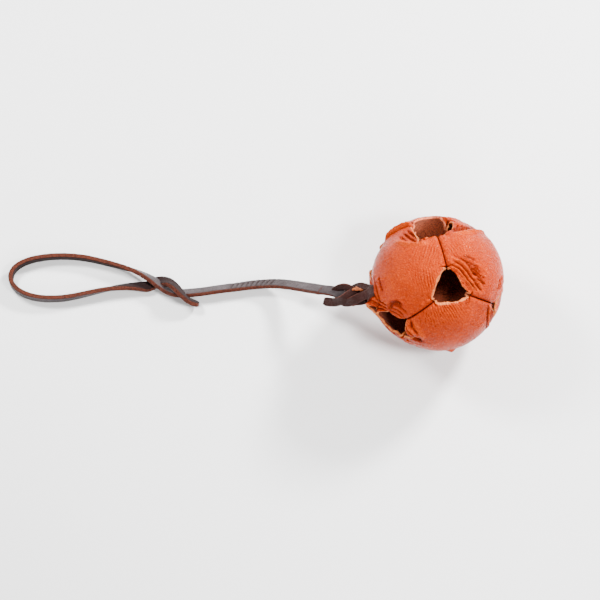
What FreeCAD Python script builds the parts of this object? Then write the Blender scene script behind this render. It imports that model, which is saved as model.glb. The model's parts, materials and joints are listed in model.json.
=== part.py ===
"""Hollow leather activity ball with a leather hand strap.

Six octagonal leather panels are sewn together along twelve short seams, which
leaves eight three-sided windows. A strap passes through two slits beside one
seam and ends in a hand loop. All sizes are in millimetres, +Z is up, and the
origin is on the ground straight below the ball's centre.
"""
import FreeCAD
import Part
import itertools
import math
import os

from FreeCAD import Placement, Rotation, Vector

SIZES = {
    "ball_height": 66.0,       # ball centre above the ground
    "lobe_radius": 60.0,       # each panel is part of a sphere of this radius ...
    "lobe_shift": 10.0,        # ... whose centre is this far out along the panel's axis
    "leather": 2.5,            # panel leather thickness
    "flange_depth": 7.0,       # seam allowance turned into the ball
    "wedge_start": 20.0,       # the pyramids that trim a panel, from this height ...
    "wedge_reach": 90.0,       # ... to this one, as wide to each side as they are high
    "yaw": 22.46,              # turns of the ball's panel axes from the frame
    "pitch": -39.46,
    "roll": 75.83,
    "stitch_radius": 0.6,      # waxed thread
    "stitch_pitch": 4.5,       # degrees of arc between stitches
    "stitch_rows": 7,
    "stitch_depth": 3.4,       # thread below the leather's inner face
    "strap_width": 12.0,
    "strap_thick": 4.5,
    "hinge_reach": 62.0,       # ball centre to the middle of the sewn bar
    "bight_inner": 7.3,        # strap's inner radius round the sewn bar
    "slit_play": 0.5,          # clearance round the strap in the slits
    "braid_thick": 9.0,        # two layers of strap
    "tail_width": 10.0,
}

FACES = {
    "upper_right_panel": Rotation(Vector(0, 1, 0), 90),
    "upper_left_panel": Rotation(Vector(1, 0, 0), -90),
    "front_panel": Rotation(Vector(0, 0, 1), 0),
    "lower_left_panel": Rotation(Vector(0, 1, 0), -90),
    "lower_right_panel": Rotation(Vector(1, 0, 0), 90),
    "back_panel": Rotation(Vector(1, 0, 0), 180),
}
FLOOR_PANELS = ("lower_left_panel", "lower_right_panel")
SLIT_PANELS = ("upper_left_panel", "lower_left_panel")

# Centre lines of the strap, lying on its edge except where it is braided.
BRAID_ROUTE = [
    (-68.9, -16.0, 67.7), (-84.0, -13.5, 62.5), (-101.0, -7.5, 52.5), (-116.4, 0.5, 42.0),
]
BRAID_SIDE = (0.25, 0.968, 0.0)    # the braid lies flat, with its width this way
RUN_ROUTE = [
    (-116.4, 0.5, 42.0), (-138.6, 10.4, 24.0), (-161.5, 18.0, 11.0), (-185.2, 18.2, 6.0),
    (-203.4, 15.4, 6.0), (-221.6, 13.0, 6.0), (-239.8, 10.0, 6.0), (-258.0, 8.3, 6.0),
]
LOOP_ROUTE = [
    (-258.0, 8.3, 6.0), (-270.5, 9.6, 6.0), (-282.8, 16.9, 6.0), (-296.5, 27.0, 6.0),
    (-318.0, 35.8, 6.0), (-341.0, 42.4, 6.0), (-361.2, 47.2, 6.0), (-381.5, 49.2, 6.0),
    (-403.0, 48.2, 6.0), (-423.0, 43.6, 6.0), (-436.5, 34.5, 6.0), (-438.6, 21.0, 6.0),
    (-429.0, 9.6, 6.0), (-410.0, 2.6, 6.0), (-384.0, 2.4, 6.0), (-361.2, 7.4, 6.0),
    (-341.0, 12.6, 6.0), (-320.0, 15.9, 6.0), (-303.5, 16.6, 6.0), (-291.0, 14.6, 6.0),
]
TAIL_ROUTE = [
    (-288.5, 27.9, 3.4), (-277.0, 20.2, 15.2), (-252.0, 3.4, 15.2), (-240.5, -4.3, 3.4),
]
BEND_SHARE = 0.45              # of the shorter run, taken by a bend's tangent


def make_sheet(doc):
    """Puts the driving dimensions into a spreadsheet, one aliased cell each."""
    sheet = doc.addObject("Spreadsheet::Sheet", "Sizes")
    for row, (alias, value) in enumerate(SIZES.items(), start=1):
        sheet.set(f"A{row}", alias.replace("_", " "))
        sheet.set(f"B{row}", str(value))
        sheet.setAlias(f"B{row}", alias)
    doc.recompute()
    return sheet


def add_sphere(doc, name, radius):
    """A ball on the panel's own axis, which is its local Z."""
    sphere = doc.addObject("Part::Sphere", name)
    sphere.setExpression("Radius", radius)
    sphere.setExpression("Placement.Base.z", "Sizes.lobe_shift")
    return sphere


def add_wedge(doc, name, lift="0", turn=0.0):
    """An upside-down square pyramid whose four sides stand at 45 degrees to Z."""
    wedge = doc.addObject("Part::Wedge", name)
    for axis in ("X", "Z"):
        wedge.setExpression(f"{axis}min", "-Sizes.wedge_start")
        wedge.setExpression(f"{axis}max", "Sizes.wedge_start")
        wedge.setExpression(f"{axis}2min", "-Sizes.wedge_reach")
        wedge.setExpression(f"{axis}2max", "Sizes.wedge_reach")
    wedge.setExpression("Ymin", "Sizes.wedge_start")
    wedge.setExpression("Ymax", "Sizes.wedge_reach")
    upright = Rotation(Vector(1, 0, 0), 90)
    wedge.Placement = Placement(Vector(0, 0, 0), Rotation(Vector(0, 0, 1), turn) * upright)
    wedge.setExpression("Placement.Base.z", lift)
    return wedge


def cut(doc, name, base, tool):
    result = doc.addObject("Part::Cut", name)
    result.Base = base
    result.Tool = tool
    return result


def common(doc, name, shapes):
    result = doc.addObject("Part::MultiCommon", name)
    result.Shapes = shapes
    return result


def add_panel_blank(doc, node):
    """An octagonal shell with a flange turned inward along its four seam sides."""
    outer = add_sphere(doc, f"{node}_outer", "Sizes.lobe_radius")
    square = add_wedge(doc, f"{node}_square")
    diamond = add_wedge(doc, f"{node}_diamond", turn=45.0)
    solid = common(doc, f"{node}_solid", [outer, square, diamond])
    inner = add_sphere(doc, f"{node}_inner", "Sizes.lobe_radius - Sizes.leather")
    inset = add_wedge(doc, f"{node}_inset", lift="Sizes.leather * sqrt(2)")
    hollow = common(doc, f"{node}_hollow", [inner, inset])
    cupped = cut(doc, f"{node}_cupped", solid, hollow)
    core = add_sphere(doc, f"{node}_core", "Sizes.lobe_radius - Sizes.leather - Sizes.flange_depth")
    return cut(doc, f"{node}_blank", cupped, core)


def add_floor_pad(doc, node, place):
    """The leather that lies flat on the ground, at full thickness."""
    filled = add_sphere(doc, f"{node}_pad_ball", "Sizes.lobe_radius")
    square = add_wedge(doc, f"{node}_pad_square")
    diamond = add_wedge(doc, f"{node}_pad_diamond", turn=45.0)
    lobe = common(doc, f"{node}_pad_lobe", [filled, square, diamond])
    lobe.Placement = place
    slab = doc.addObject("Part::Box", f"{node}_pad_slab")
    slab.setExpression("Length", "2 * Sizes.wedge_reach")
    slab.setExpression("Width", "2 * Sizes.wedge_reach")
    slab.setExpression("Height", "Sizes.leather")
    slab.setExpression("Placement.Base.x", "-Sizes.wedge_reach")
    slab.setExpression("Placement.Base.y", "-Sizes.wedge_reach")
    return common(doc, f"{node}_pad", [lobe, slab])


def add_ground(doc, node):
    """Everything below the ground, to be cut away."""
    ground = doc.addObject("Part::Box", f"{node}_ground")
    for side in ("Length", "Width", "Height"):
        ground.setExpression(side, "2 * Sizes.wedge_reach")
    ground.setExpression("Placement.Base.x", "-Sizes.wedge_reach")
    ground.setExpression("Placement.Base.y", "-Sizes.wedge_reach")
    ground.setExpression("Placement.Base.z", "-2 * Sizes.wedge_reach")
    return ground


def add_slit_tool(doc, node, hinge):
    """The ring of space that the strap sweeps round the sewn bar."""
    outer = doc.addObject("Part::Cylinder", f"{node}_slit_outer")
    outer.setExpression("Radius", "Sizes.bight_inner + Sizes.strap_thick + Sizes.slit_play")
    inner = doc.addObject("Part::Cylinder", f"{node}_slit_inner")
    inner.setExpression("Radius", "Sizes.bight_inner - Sizes.slit_play")
    for cylinder in (outer, inner):
        cylinder.setExpression("Height", "Sizes.strap_width + 2 * Sizes.slit_play")
        cylinder.setExpression("Placement.Base.z", "-Sizes.strap_width / 2 - Sizes.slit_play")
    ring = cut(doc, f"{node}_slit", outer, inner)
    ring.Placement = hinge
    return ring


def add_panel(doc, node, ball, hinge):
    """One leather panel, with its slit or its flat spot where it has one."""
    place = ball * Placement(Vector(0, 0, 0), FACES[node])
    part = add_panel_blank(doc, node)
    part.Placement = place
    if node in FLOOR_PANELS:
        joined = doc.addObject("Part::MultiFuse", f"{node}_padded")
        joined.Shapes = [part, add_floor_pad(doc, node, place)]
        part = cut(doc, f"{node}_flat", joined, add_ground(doc, node))
    if node in SLIT_PANELS:
        part = cut(doc, f"{node}_slitted", part, add_slit_tool(doc, node, hinge))
    part.Label = node
    return part


def stitch_points(sheet):
    """A row of stitches that weaves to and fro through both flanges of a seam."""
    seam_shift = sheet.lobe_shift * math.cos(math.radians(45))
    reach = sheet.lobe_radius + seam_shift - sheet.leather - sheet.stitch_depth
    side = sheet.leather + sheet.stitch_radius
    points = []
    for index in range(int(sheet.stitch_rows)):
        angle = math.radians((index - (sheet.stitch_rows - 1) / 2) * sheet.stitch_pitch)
        along = Vector(math.sin(angle), 0, math.cos(angle)) * reach
        across = Vector(0, side if index % 2 == 0 else -side, 0)
        points += [along - across, along + across]
    return points


def add_seam_thread(doc, sheet, node, place):
    """One length of thread; its local Z points to the seam, and Y crosses the seam."""
    points = stitch_points(sheet)
    solids = []
    for start, end in zip(points, points[1:]):
        solids.append(Part.makeCylinder(sheet.stitch_radius, (end - start).Length, start, end - start))
        solids.append(Part.makeSphere(sheet.stitch_radius, end))
    solids.append(Part.makeSphere(sheet.stitch_radius, points[0]))
    thread = doc.addObject("Part::Feature", node)
    thread.Shape = solids[0].multiFuse(solids[1:]).removeSplitter()
    thread.Placement = place
    thread.Label = node
    return thread


def rounded_path(points):
    """Straight runs joined by tangent arcs, each as large as its two runs allow."""
    points = [Vector(*point) for point in points]
    edges, radii, last = [], [], points[0]
    for before, corner, after in zip(points, points[1:], points[2:]):
        back = (before - corner).normalize()
        ahead = (after - corner).normalize()
        turn = math.pi - back.getAngle(ahead)
        tangent = BEND_SHARE * min((before - corner).Length, (after - corner).Length)
        radius = tangent / math.tan(turn / 2)
        radii.append(radius)
        start = corner + back * tangent
        end = corner + ahead * tangent
        middle_line = (back + ahead).normalize()
        middle = corner + middle_line * (radius / math.cos(turn / 2) - radius)
        edges.append(Part.LineSegment(last, start).toShape())
        edges.append(Part.Arc(start, middle, end).toShape())
        last = end
    edges.append(Part.LineSegment(last, points[-1]).toShape())
    return Part.Wire(edges), radii


def strap_section(start, ahead, binormal, thick, width):
    """A rectangle across the strap, with its width along the binormal."""
    side = binormal.cross(ahead).normalize() * (thick / 2)
    half = binormal * (width / 2)
    corners = [start + side + half, start - side + half, start - side - half, start + side - half]
    return Part.makePolygon(corners + [corners[0]])


def sweep_strap(name, route, thick, width, binormal):
    """Sweeps the strap's section along a route and prints its bends and volume."""
    path, radii = rounded_path(route)
    ahead = Vector(*route[1]) - Vector(*route[0])
    pipe = Part.BRepOffsetAPI.MakePipeShell(path)
    pipe.setBiNormalMode(binormal)
    pipe.add(strap_section(Vector(*route[0]), ahead, binormal, thick, width))
    pipe.build()
    pipe.makeSolid()
    solid = pipe.shape()
    if solid.ShapeType != "Solid":
        solid = solid.Solids[0]
    if solid.Volume < 0:
        solid.reverse()
    share = solid.Volume / (thick * width * path.Length)
    print(f"{name}: length {path.Length:.1f}, bends {[round(radius, 1) for radius in radii]}, "
          f"volume share {share:.3f}")
    return solid


def add_feature(doc, node, shape):
    feature = doc.addObject("Part::Feature", node)
    feature.Shape = shape
    feature.Placement = Placement()
    feature.Label = node
    return feature


def add_strap_hitch(doc, sheet, hinge):
    """The strap's bight round the sewn bar and the two braided layers behind it."""
    outer_radius = sheet.bight_inner + sheet.strap_thick
    ring = Part.makeCylinder(outer_radius, sheet.strap_width)
    ring = ring.cut(Part.makeCylinder(sheet.bight_inner, sheet.strap_width))
    ring.translate(Vector(0, 0, -sheet.strap_width / 2))
    ring.Placement = hinge * ring.Placement
    side = Vector(*BRAID_SIDE).normalize()
    braid = sweep_strap("strap_hitch", BRAID_ROUTE, sheet.braid_thick, sheet.strap_width, side)
    core = Part.makeCylinder(sheet.bight_inner + 1.0, 2 * sheet.strap_width)
    core.translate(Vector(0, 0, -sheet.strap_width))
    core.Placement = hinge * core.Placement
    return add_feature(doc, "strap_hitch", ring.fuse(braid.cut(core)).removeSplitter())


def add_strap(doc, sheet, hinge):
    """The strap's four stretches, each one solid, from the ball to its tail."""
    thick, width = sheet.strap_thick, sheet.strap_width
    upright = Vector(0, 0, 1)
    tail_line = Vector(*TAIL_ROUTE[-1]) - Vector(*TAIL_ROUTE[0])
    tail_side = Vector(-tail_line.y, tail_line.x, 0).normalize()
    return [
        add_strap_hitch(doc, sheet, hinge),
        add_feature(doc, "strap_run", sweep_strap("strap_run", RUN_ROUTE, thick, width, upright)),
        add_feature(doc, "hand_loop", sweep_strap("hand_loop", LOOP_ROUTE, thick, width, upright)),
        add_feature(doc, "strap_tail",
                    sweep_strap("strap_tail", TAIL_ROUTE, thick, sheet.tail_width, tail_side)),
    ]


def seam_places(ball):
    """The twelve seams, each as a name and a placement with Z to the seam and X along it."""
    axes = {node: turn.multVec(Vector(0, 0, 1)) for node, turn in FACES.items()}
    for first, second in itertools.combinations(axes, 2):
        if abs(axes[first].dot(axes[second])) > 0.5:
            continue
        out = (axes[first] + axes[second]).normalize()
        across = (axes[first] - axes[second]).normalize()
        turn = Rotation(across.cross(out), across, out, "ZYX")
        name = f"thread_{first}_{second}".replace("_panel", "")
        yield name, ball * Placement(Vector(0, 0, 0), turn)


def check_document(doc):
    """Stops if anything failed to compute."""
    for item in doc.Objects:
        if "Invalid" in item.State or "Error" in item.State:
            raise RuntimeError(f"{item.Name} failed: {item.State} {item.getStatusString()}")


def export(sub_parts):
    """Writes one STEP file for each sub-part."""
    os.makedirs("parts", exist_ok=True)
    for item in sub_parts:
        shape = item.Shape
        if shape.isNull() or not shape.isValid():
            raise RuntimeError(f"{item.Label} is not a valid shape")
        shape.exportStep(f"parts/{item.Label}.step")
        print(f"{item.Label}: {len(shape.Solids)} solid, {shape.Volume / 1000:.2f} cm3")


def main():
    doc = FreeCAD.newDocument("ActivityBall")
    sheet = make_sheet(doc)
    ball = Placement(Vector(0, 0, sheet.ball_height), Rotation(sheet.yaw, sheet.pitch, sheet.roll))
    out = (Vector(0, 1, 0) - Vector(1, 0, 0)).normalize()
    hinge = ball * Placement(out * sheet.hinge_reach, Rotation())
    print("strap hinge at", hinge.Base, "along", hinge.Rotation.multVec(Vector(0, 0, -1)))
    sub_parts = [add_panel(doc, node, ball, hinge) for node in FACES]
    for node, place in seam_places(ball):
        sub_parts.append(add_seam_thread(doc, sheet, node, place))
    sub_parts += add_strap(doc, sheet, hinge)
    doc.recompute()
    check_document(doc)
    export(sub_parts)


main()
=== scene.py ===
import json
import math

import bpy
import numpy as np
from mathutils import Euler, Matrix, Vector, noise

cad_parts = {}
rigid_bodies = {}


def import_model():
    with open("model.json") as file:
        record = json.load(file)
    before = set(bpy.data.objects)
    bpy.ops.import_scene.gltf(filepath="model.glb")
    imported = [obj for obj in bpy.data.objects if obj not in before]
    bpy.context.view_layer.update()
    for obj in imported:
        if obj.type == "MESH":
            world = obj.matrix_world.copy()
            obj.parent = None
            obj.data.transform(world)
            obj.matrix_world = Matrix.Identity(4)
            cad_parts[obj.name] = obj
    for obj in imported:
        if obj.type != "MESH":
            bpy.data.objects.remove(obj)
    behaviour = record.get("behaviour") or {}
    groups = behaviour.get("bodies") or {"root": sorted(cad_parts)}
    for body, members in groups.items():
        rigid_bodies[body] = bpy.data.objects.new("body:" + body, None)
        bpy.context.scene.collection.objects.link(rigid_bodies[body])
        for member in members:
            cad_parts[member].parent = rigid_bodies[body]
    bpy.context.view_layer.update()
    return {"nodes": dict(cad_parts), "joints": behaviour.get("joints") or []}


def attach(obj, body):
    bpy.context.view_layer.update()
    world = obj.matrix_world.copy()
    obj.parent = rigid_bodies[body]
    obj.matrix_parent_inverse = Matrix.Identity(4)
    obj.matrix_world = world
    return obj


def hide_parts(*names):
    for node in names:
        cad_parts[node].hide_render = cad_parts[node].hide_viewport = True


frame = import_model()

MM = 0.001
JOINT = frame["joints"][0]
HINGE = Vector(JOINT["pos_m"])
SEAM_AXIS = Vector(JOINT["axis"]).normalized()

# ---------------------------------------------------------------- the ball's layout, in millimetres
BALL_RADIUS = 66.0             # also the height of its centre, and what turns angles into mm
BALL_CENTRE = Vector((0.0, 0.0, BALL_RADIUS))
BALL_TURN = Euler([math.radians(angle) for angle in (75.83, -39.46, 22.46)]).to_matrix()
LOBE_RADIUS = 60.0             # each panel bulges as a part of a sphere of this radius,
LOBE_SHIFT = 10.0              # whose middle is this far out along the panel's axis
LEATHER = 2.5
FLANGE_DEPTH = 8.0
SEAM_ROUND = 3.0               # the leather rolls over this radius into a seam
SEAM_GAP = 0.7                 # from the seam line to each panel's turned edge
SEAM_ROLL = 0.8                # the leather swells this much beside a seam
ROLL_PLACE, ROLL_WIDTH = 4.5, 3.0              # of that swelling, from the seam
CREASE_DEPTH = 1.45            # all the creases' heights are scaled by this
RAW_BAND = 0.8                 # the usual width of the pale bevel along a window's cut edge
SIDE_LENGTH = 38.0             # of the octagon, along the ball
HALF_SIDE = 0.58 * SIDE_LENGTH  # from a side's middle to its corner, along the panel's rim
CORNER_BLEND = 3.0             # over this length a window's edge turns into a seam
CORNER_SLOPE = math.tan(math.radians(22.5))
WAVE_OCTAVES = 2

# each panel: its axis as a signed column of BALL_TURN
PANEL_AXES = {
    "upper_right_panel": (0, 1), "upper_left_panel": (1, 1), "front_panel": (2, 1),
    "lower_left_panel": (0, -1), "lower_right_panel": (1, -1), "back_panel": (2, -1),
}


def panel_frame(node):
    """The panel's two seam directions and its axis, as unit vectors in the row frame."""
    column, sign = PANEL_AXES[node]
    axis = np.array(BALL_TURN.col[column]) * sign
    first = np.array(BALL_TURN.col[(column + 1) % 3])
    second = np.array(BALL_TURN.col[(column + 2) % 3]) * sign
    return first, second, axis


def smooth(value):
    """An S-shaped step, from 0 up to 1 as the value goes from 0 to 1."""
    value = np.clip(value, 0.0, 1.0)
    return value * value * (3.0 - 2.0 * value)


def waves(points, size, seed):
    """Smooth noise in -1..1 at each point; size is the wavelength, and each seed has its own noise."""
    shift = Vector((seed * 17.3, seed * 5.1, seed * 9.7))
    values = [noise.fractal(Vector(point) / size + shift, 1.0, 2.0, WAVE_OCTAVES) for point in points]
    return np.array(values)


# ---------------------------------------------------------------- a panel's surface
GRAIN, SUEDE, RAW = 0, 1, 2    # a panel's materials
# rings of the mesh, from the middle out: columns, step between rings, and where the zone ends
RING_ZONES = ((80, 1.6, 10.0), (160, 0.9, 20.0), (320, 0.6, 40.0), (640, 0.5, None))
SURFACE = 53.0                 # from a panel's middle to its sides, along the ball
PATH_LENGTH = SURFACE + SEAM_ROUND * (math.pi / 2 - 1) + FLANGE_DEPTH
POLE_LIFT = 0.03               # of the middle point over the first ring

# a window's cut edge
EDGE_INSET = 0.4               # from the octagon's outline
WAVE_FINENESS, FRAY_FINENESS = 2.3, 13.0
FRAY_DEPTH = 0.5
FRAY_BAND = 0.9                # how much the fray varies the bevel's width, as a share of it
BEVEL_DROP = 0.7               # as a share of the bevel's width

# the waves in a panel's surface: wavelength and height
SWELL_WAVE, SWELL_HEIGHT = 38.0, 0.9           # the whole panel is uneven
CURL_WAVE, CURL_REACH = 11.0, 7.0              # a window's edge curls up and down
PUCKER_WAVE, PUCKER_HEIGHT = 3.2, 0.35         # puckers just inside the panel's outline
PUCKER_PLACE, PUCKER_REACH = 3.0, 4.0          # from the outline
WRINKLE_WAVE = 2.6                             # fine wrinkles, stronger in patches
WRINKLE_LEAST, WRINKLE_MORE = 0.12, 0.22       # their height, and what a patch adds to it
PATCH_WAVE, PATCH_CONTRAST = 26.0, 1.4
RIPPLE_WAVE, RIPPLE_BEND = 9.0, 2.6            # the ripples' crests wander, by this many radians
CREASE_FADE = 0.3              # the share of a crease's length over which each end fades
SINK_FADE = 4.0                # this deep in a seam, the surface is even

# the mark that the leather's colour follows: painted shade in a seam and in a hollow, a painted highlight
# on a ridge
MARK_GAIN = 2.4                # for each mm of height
MARK_START, MARK_DEPTH = 0.4, 1.6              # how deep in a seam the dark begins, and grows full
MARK_SEAM, MARK_HOLLOW, MARK_RIDGE = -3.2, -1.9, 1.6


def ring_layout():
    """The number of columns and the place along the path, from 0 to 1, of every ring."""
    rings, reach = [], RING_ZONES[0][1]
    for columns, step, limit in RING_ZONES:
        end = limit or PATH_LENGTH
        while reach < end - 0.5 * step:
            rings.append((columns, reach / PATH_LENGTH))
            reach += step
    rings.append((RING_ZONES[-1][0], 1.0))
    return rings


def edge_noise(bx, by, fineness, seed):
    """Noise round a ring: the greater its fineness, the shorter its waves."""
    return np.array([noise.noise(Vector((x * fineness, y * fineness, seed))) for x, y in zip(bx, by)])


def ring_points(columns, along, spec):
    """One ring of the panel in its own frame, with what the shape and the material need to know."""
    turn = np.arange(columns) * 8.0 / columns
    side = np.floor(turn + 0.5)
    across = (turn - side) * 2.0
    angle = np.radians(side * 45.0)
    bx = np.cos(angle) - across * CORNER_SLOPE * np.sin(angle)
    by = np.sin(angle) + across * CORNER_SLOPE * np.cos(angle)
    past_corner = (1.0 - np.abs(across)) * SIDE_LENGTH / 2.0
    past_corner = np.where(side % 2 == 0, past_corner, -past_corner)
    seam = smooth((past_corner + CORNER_BLEND / 2) / CORNER_BLEND)
    for number, start in spec.get("open", {}).items():
        past_start = across * HALF_SIDE * math.copysign(1, start) - abs(start)
        seam = np.where(side % 8 == number, seam * (1 - smooth(past_start / CORNER_BLEND)), seam)
    heading = np.arctan2(by, bx)
    edge_angle = np.arctan(np.hypot(bx, by))
    wave = edge_noise(bx, by, WAVE_FINENESS, spec["seed"] * 3.7)
    fray = edge_noise(bx, by, FRAY_FINENESS, spec["seed"] * 5.1)
    inset = EDGE_INSET - spec["edge_wave"] * wave - FRAY_DEPTH * fray
    inset = inset + cut_depth(side, across, spec["cuts"])
    edge_angle = edge_angle - (1 - seam) * inset / BALL_RADIUS

    surface = SURFACE - SEAM_GAP
    straight = surface - SEAM_ROUND
    path = along * PATH_LENGTH
    bend = np.clip((path - straight) / SEAM_ROUND, 0.0, math.pi / 2)
    seam_share = np.where(path < straight, path, straight + SEAM_ROUND * np.sin(bend)) / surface
    drop = SEAM_ROUND * (1.0 - np.cos(bend)) + max(0.0, path - straight - SEAM_ROUND * math.pi / 2)
    share = (1 - seam) * along + seam * seam_share
    tilt = edge_angle * share
    radius = LOBE_SHIFT * np.cos(tilt) + np.sqrt(LOBE_RADIUS**2 - (LOBE_SHIFT * np.sin(tilt))**2)
    flat = np.stack([np.cos(heading) * tilt, np.sin(heading) * tilt], 1) * BALL_RADIUS
    edge = (1.0 - along) * surface * (1 - seam) + (1 - seam_share) * surface * seam
    bands = np.array([spec["raw"].get(number, RAW_BAND) for number in range(8)])
    return {
        "flat": flat, "seam": seam, "edge": edge, "sink": seam * drop,
        "band": bands[side.astype(int) % 8] * (1.0 + FRAY_BAND * fray),
        "heading": heading, "tilt": tilt, "radius": radius,
    }


def cut_depth(side, across, cuts):
    """How far each window edge is cut back, in mm: cuts give (place along the side, depth)."""
    depth = np.zeros(len(side))
    for number, steps in cuts.items():
        places, depths = zip(*sorted(steps))
        here = np.interp(across * HALF_SIDE, places, depths)
        depth = np.where(side % 8 == number, here, depth)
    return depth


def ripple_height(flat, ripples):
    """Short parallel ripples: each patch has a middle, a radius, a direction, a spacing and a size."""
    height = np.zeros(len(flat))
    for number, (middle, radius, heading, spacing, size) in enumerate(ripples):
        away = flat - np.array(middle)
        heading = math.radians(heading)
        along = away @ np.array([math.cos(heading), math.sin(heading)])
        points = np.column_stack([flat, np.full(len(flat), 31.0 * number)])
        phase = 2 * math.pi * along / spacing + RIPPLE_BEND * waves(points, RIPPLE_WAVE, number + 3)
        height += size * np.sin(phase) * np.exp(-(away**2).sum(1) / radius**2)
    return height


def pull_height(flat, pulls):
    """Places where a panel stands out of the ball, or is pressed into it."""
    height = np.zeros(len(flat))
    for middle, size, width in pulls:
        height += size * np.exp(-((flat - np.array(middle))**2).sum(1) / width**2)
    return height


def crease_height(flat, creases):
    """The sum of ridges (positive) and grooves (negative) at points on the flattened panel."""
    height = np.zeros(len(flat))
    for points, size, width in creases:
        nearest = np.full(len(flat), 1e9)
        reach = np.zeros(len(flat))
        points = np.array(points, float)
        lengths = np.linalg.norm(np.diff(points, axis=0), axis=1)
        total, done = lengths.sum(), 0.0
        for start, end, length in zip(points, points[1:], lengths):
            run = end - start
            share = np.clip(((flat - start) @ run) / length**2, 0, 1)
            gap = np.linalg.norm(flat - (start + share[:, None] * run), axis=1)
            closer = gap < nearest
            nearest = np.where(closer, gap, nearest)
            reach = np.where(closer, (done + share * length) / total, reach)
            done += length
        taper = smooth(np.minimum(reach, 1 - reach) / CREASE_FADE + 0.25)
        height += CREASE_DEPTH * size * taper * np.exp(-(nearest / width)**2)
    return height


def panel_shape(info, spec):
    """Raises and sinks one ring; returns its points in the panel's frame and their marks of painted shade
    and highlight.
    """
    flat, seam, edge = info["flat"], info["seam"], info["edge"]
    points = np.column_stack([flat, np.full(len(flat), spec["seed"] * 50.0)])
    swell = SWELL_HEIGHT * waves(points, SWELL_WAVE, spec["seed"])
    swell += seam * SEAM_ROLL * np.exp(-((edge - ROLL_PLACE) / ROLL_WIDTH)**2)
    height = crease_height(flat, spec["creases"])
    near_edge = np.exp(-(edge / CURL_REACH)**2) * (1 - seam)
    height += near_edge * spec["edge_lift"] * waves(points, CURL_WAVE, spec["seed"] + 1)
    inside_edge = np.exp(-((edge - PUCKER_PLACE) / PUCKER_REACH)**2)
    height += inside_edge * PUCKER_HEIGHT * waves(points, PUCKER_WAVE, spec["seed"] + 2)
    patches = smooth(0.5 + PATCH_CONTRAST * waves(points, PATCH_WAVE, spec["seed"] + 5))
    wrinkles = WRINKLE_LEAST + WRINKLE_MORE * patches
    height += wrinkles * waves(points, WRINKLE_WAVE, spec["seed"] + 3)
    height += ripple_height(flat, spec["ripples"])
    wear_and_shade = np.clip(1 - edge / info["band"], 0, 1)
    height -= (1 - seam) * BEVEL_DROP * info["band"] * wear_and_shade * wear_and_shade
    above_seam = smooth(1.0 - info["sink"] / SINK_FADE)
    height *= above_seam
    # painted shade deep in a seam and in hollows, and a painted highlight on ridges, for the colour to
    # follow
    seam_shade = smooth((info["sink"] - MARK_START) / MARK_DEPTH) * smooth(2.5 * seam - 1.5)
    mark = np.clip(MARK_GAIN * height, MARK_HOLLOW, MARK_RIDGE) + MARK_SEAM * seam_shade
    height += swell * above_seam + pull_height(flat, spec["pulls"])
    radius = info["radius"] + height - info["sink"]
    direction = np.column_stack([
        np.sin(info["tilt"]) * np.cos(info["heading"]),
        np.sin(info["tilt"]) * np.sin(info["heading"]),
        np.cos(info["tilt"]),
    ])
    return direction * radius[:, None], mark


def join_rings(sizes, offset):
    """Faces between neighbouring rings; a ring may have twice as many points as the one inside it."""
    faces = []
    starts = np.cumsum([offset] + sizes[:-1])
    for inner, outer, first, second in zip(sizes, sizes[1:], starts, starts[1:]):
        for k in range(inner):
            a, b = first + k, first + (k + 1) % inner
            if outer == inner:
                faces.append((a, second + k, second + (k + 1) % outer, b))
            else:
                c, d, e = (second + (2 * k + step) % outer for step in (0, 1, 2))
                faces += [(a, c, d), (a, d, b), (b, d, e)]
    return faces


def make_mesh(name, points, faces, materials):
    mesh = bpy.data.meshes.new(name)
    mesh.from_pydata([tuple(point) for point in points], [], faces)
    for material in materials:
        mesh.materials.append(material)
    mesh.polygons.foreach_set("use_smooth", [True] * len(mesh.polygons))
    mesh.update()
    piece = bpy.data.objects.new(name, mesh)
    bpy.context.scene.collection.objects.link(piece)
    return piece


def add_value(mesh, name, values):
    """Gives each point of the mesh a number that a material can read."""
    attribute = mesh.attributes.new(name, "FLOAT", "POINT")
    attribute.data.foreach_set("value", np.asarray(values, np.float32))


def apply_modifiers(piece):
    """Keeps the piece's shape with its modifiers, and removes them."""
    graph = bpy.context.evaluated_depsgraph_get()
    mesh = bpy.data.meshes.new_from_object(piece.evaluated_get(graph))
    piece.modifiers.clear()
    piece.data = mesh


def make_panel(node, spec, materials):
    """One leather panel: an octagonal skin with flanges, given its thickness inward."""
    first, second, axis = panel_frame(node)
    layout = ring_layout()
    points = [np.array([[0, 0, LOBE_RADIUS + LOBE_SHIFT]])]
    marks, raw = [np.zeros(1)], [np.zeros(1)]
    for columns, along in layout:
        info = ring_points(columns, along, spec)
        shaped, mark = panel_shape(info, spec)
        raw.append((info["edge"] < info["band"]) & (info["seam"] < 0.5))
        points.append(shaped)
        marks.append(mark)
    sizes = [columns for columns, along in layout]
    points = np.vstack(points)
    points[0, 2] = points[1:1 + sizes[0], 2].mean() + POLE_LIFT
    world = points[:, :1] * first + points[:, 1:2] * second + points[:, 2:] * axis
    world += np.array(BALL_CENTRE)
    world[:, 2] = np.maximum(world[:, 2], 0.0)
    faces = [(0, 1 + k, 1 + (k + 1) % sizes[0]) for k in range(sizes[0])] + join_rings(sizes, 1)
    panel = make_mesh(node + "_leather", world * MM, faces, materials)
    raw = np.concatenate(raw)
    kinds = [RAW if all(raw[corner] for corner in face) else GRAIN for face in faces]
    panel.data.polygons.foreach_set("material_index", kinds)
    # the marks of painted shade and painted highlight, for the colour
    add_value(panel.data, "shade_and_highlight", np.concatenate(marks))
    solid = panel.modifiers.new("thickness", "SOLIDIFY")
    solid.thickness = LEATHER * MM
    solid.offset = -1.0
    solid.material_offset = SUEDE
    solid.material_offset_rim = RAW
    apply_modifiers(panel)
    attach(panel, "ball")
    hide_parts(node)


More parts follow.
